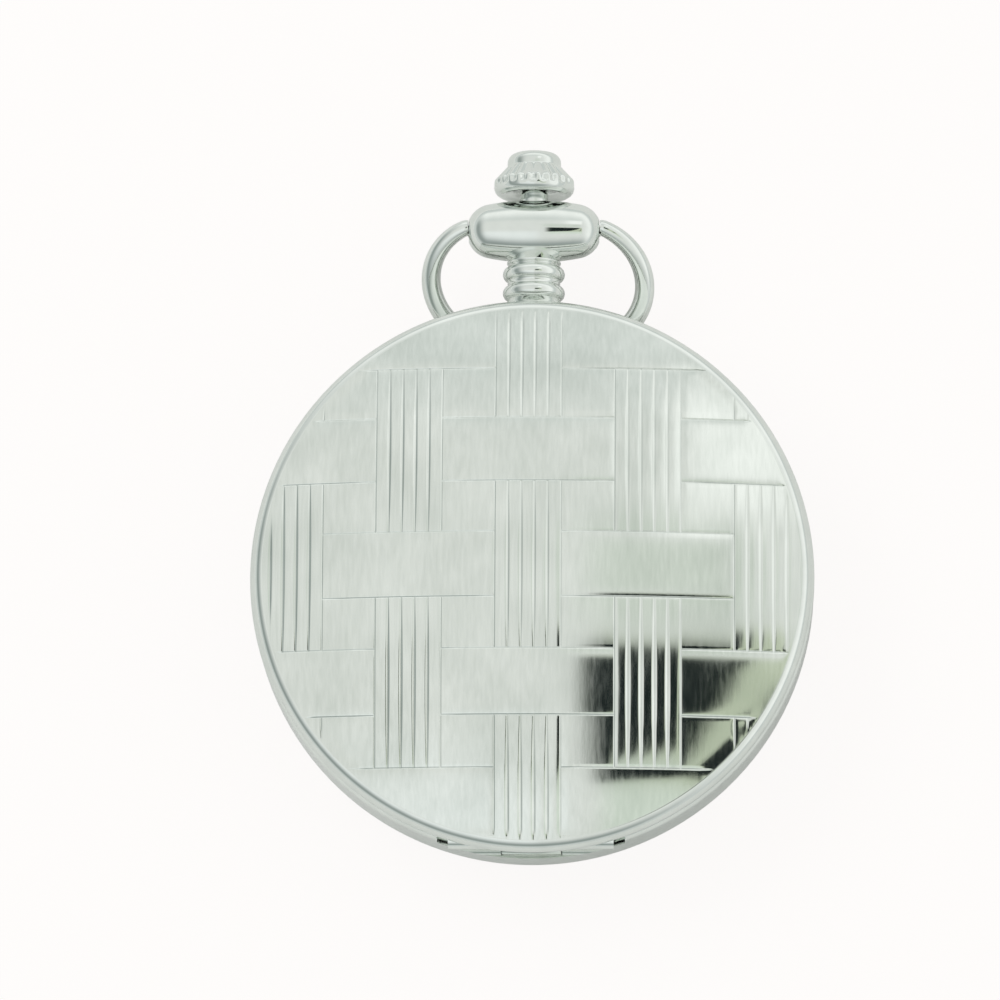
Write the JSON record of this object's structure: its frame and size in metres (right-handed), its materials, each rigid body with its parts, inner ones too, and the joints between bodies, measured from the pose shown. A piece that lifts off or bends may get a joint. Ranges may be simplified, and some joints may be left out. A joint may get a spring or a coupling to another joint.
{
  "type": "pocket watch",
  "caption": "Hunter-case pocket watch with a hinged domed front cover, swinging bow, fluted push-and-pull crown, dial with hands and a quartz movement.",
  "frame": {"origin": "centre of the back cover's flat, on which the watch lies", "axes": "+Y towards the crown, +Z out of the front cover, +X to the right when the front is seen with the crown up"},
  "size_m": [0.048, 0.0615, 0.015],
  "materials": {
    "polished_case": "polished",
    "cover_metal": "satin with polished rim",
    "steel": "fine ground",
    "crystal_glass": "clear",
    "gasket_rubber": "matte",
    "dial_paint": "satin white",
    "hand_paint": "gloss dark blue",
    "movement_brass": "fine ground",
    "ring_plastic": "moulded",
    "coil_wire": "enamelled wire",
    "board_laminate": "lacquered",
    "chip_plastic": "moulded"
  },
  "bodies": {
    "case": {"case_band": "polished_case", "back_cover": "polished_case", "bezel": "polished_case", "pendant_neck": "polished_case", "pendant_bead": "polished_case", "hinge_pin": "steel", "catch_screw": "steel", "lift_spring": "steel", "lift_screw": "steel", "bridge_screw_1": "steel", "bridge_screw_2": "steel", "bridge_screw_3": "steel", "board_screw": "steel", "battery_strap": "steel", "stator": "steel", "coil_core": "steel", "battery": "steel", "quartz_can": "steel", "crystal": "crystal_glass", "back_gasket": "gasket_rubber", "crystal_gasket": "gasket_rubber", "dial": "dial_paint", "rehaut_ring": "dial_paint", "hour_markers": "hand_paint", "main_plate": "movement_brass", "train_bridge": "movement_brass", "movement_ring": "ring_plastic", "board_pillar": "ring_plastic", "coil": "coil_wire", "circuit_board": "board_laminate", "chip": "chip_plastic"},
    "lid": {"front_cover": "cover_metal"},
    "bow": {"bow": "polished_case"},
    "press": {"press_sleeve": "steel"},
    "pull": {"pull_collar": "steel"},
    "crown": {"crown": "polished_case", "crown_stem": "steel", "sliding_pinion": "steel"},
    "catch": {"catch_spring": "steel"},
    "minute": {"cannon_pinion": "movement_brass", "minute_hand": "hand_paint"},
    "hour": {"hour_wheel": "movement_brass", "hour_hand": "hand_paint"},
    "minute_work": {"minute_wheel": "movement_brass"},
    "setting_work": {"setting_wheel": "movement_brass"},
    "lever": {"setting_lever": "steel"},
    "seconds": {"seconds_wheel": "movement_brass", "second_hand": "hand_paint"},
    "third": {"third_wheel": "movement_brass"},
    "centre": {"centre_wheel": "movement_brass"},
    "fifth": {"fifth_wheel": "movement_brass"},
    "stepper": {"rotor": "ring_plastic"}
  },
  "joints": [
    {"name": "cover_hinge", "type": "hinge", "parent": "case", "child": "lid", "pos_m": [0, -0.0226, 0.0101], "axis": [1, 0, 0], "range_deg": [0, 95]},
    {"name": "bow_swing", "type": "hinge", "parent": "case", "child": "bow", "pos_m": [0, 0.0307, 0.0075], "axis": [1, 0, 0], "range_deg": [0, 288]},
    {"name": "crown_press", "type": "slide", "parent": "case", "child": "press", "axis": [0, 1, 0], "range_m": [-0.0005, 0], "stiffness_N_per_m": 6000},
    {"name": "crown_pull", "type": "slide", "parent": "press", "child": "pull", "axis": [0, 1, 0], "range_m": [0, 0.001]},
    {"name": "crown_turn", "type": "hinge", "parent": "pull", "child": "crown", "pos_m": [0, 0.03, 0.0075], "axis": [0, 1, 0], "continuous": true},
    {"name": "catch_flex", "type": "hinge", "parent": "case", "child": "catch", "pos_m": [0.009, 0.02051, 0.0096], "axis": [0, 0, 1], "range_deg": [-0.3, 3.6]},
    {"name": "lever_swing", "type": "hinge", "parent": "case", "child": "lever", "pos_m": [-0.0025, 0.0086, 0.0069], "axis": [0, 0, 1], "range_deg": [-1, 26]},
    {"name": "minute_turn", "type": "hinge", "parent": "case", "child": "minute", "pos_m": [0, 0, 0.0085], "axis": [0, 0, 1], "continuous": true},
    {"name": "hour_turn", "type": "hinge", "parent": "case", "child": "hour", "pos_m": [0, 0, 0.0085], "axis": [0, 0, 1], "continuous": true},
    {"name": "minute_work_turn", "type": "hinge", "parent": "case", "child": "minute_work", "pos_m": [0.00339, 0.00339, 0.0081], "axis": [0, 0, 1], "continuous": true},
    {"name": "setting_turn", "type": "hinge", "parent": "case", "child": "setting_work", "pos_m": [0.00155, 0.00847, 0.0081], "axis": [0, 0, 1], "continuous": true},
    {"name": "seconds_turn", "type": "hinge", "parent": "case", "child": "seconds", "pos_m": [0, 0, 0.006], "axis": [0, 0, 1], "continuous": true},
    {"name": "third_turn", "type": "hinge", "parent": "case", "child": "third", "pos_m": [0.00456, -0.00382, 0.0047], "axis": [0, 0, 1], "continuous": true},
    {"name": "centre_turn", "type": "hinge", "parent": "case", "child": "centre", "pos_m": [0, 0, 0.0054], "axis": [0, 0, 1], "continuous": true},
    {"name": "fifth_turn", "type": "hinge", "parent": "case", "child": "fifth", "pos_m": [-0.00386, 0.0046, 0.005], "axis": [0, 0, 1], "continuous": true},
    {"name": "rotor_turn", "type": "hinge", "parent": "case", "child": "stepper", "pos_m": [-0.00715, 0.0034, 0.0055], "axis": [0, 0, 1], "continuous": true}
  ],
  "couplings": [
    {"joint": "catch_flex", "follows": "crown_press", "rad_per_m": -111.2},
    {"joint": "lever_swing", "follows": "crown_pull", "rad_per_m": 394.8},
    {"joint": "minute_work_turn", "follows": "minute_turn", "ratio": -0.33333},
    {"joint": "hour_turn", "follows": "minute_turn", "ratio": 0.083333},
    {"joint": "setting_turn", "follows": "minute_turn", "ratio": 0.66667},
    {"joint": "third_turn", "follows": "seconds_turn", "ratio": -0.13333},
    {"joint": "centre_turn", "follows": "seconds_turn", "ratio": 0.016667},
    {"joint": "fifth_turn", "follows": "seconds_turn", "ratio": -5},
    {"joint": "rotor_turn", "follows": "seconds_turn", "ratio": 30}
  ]
}
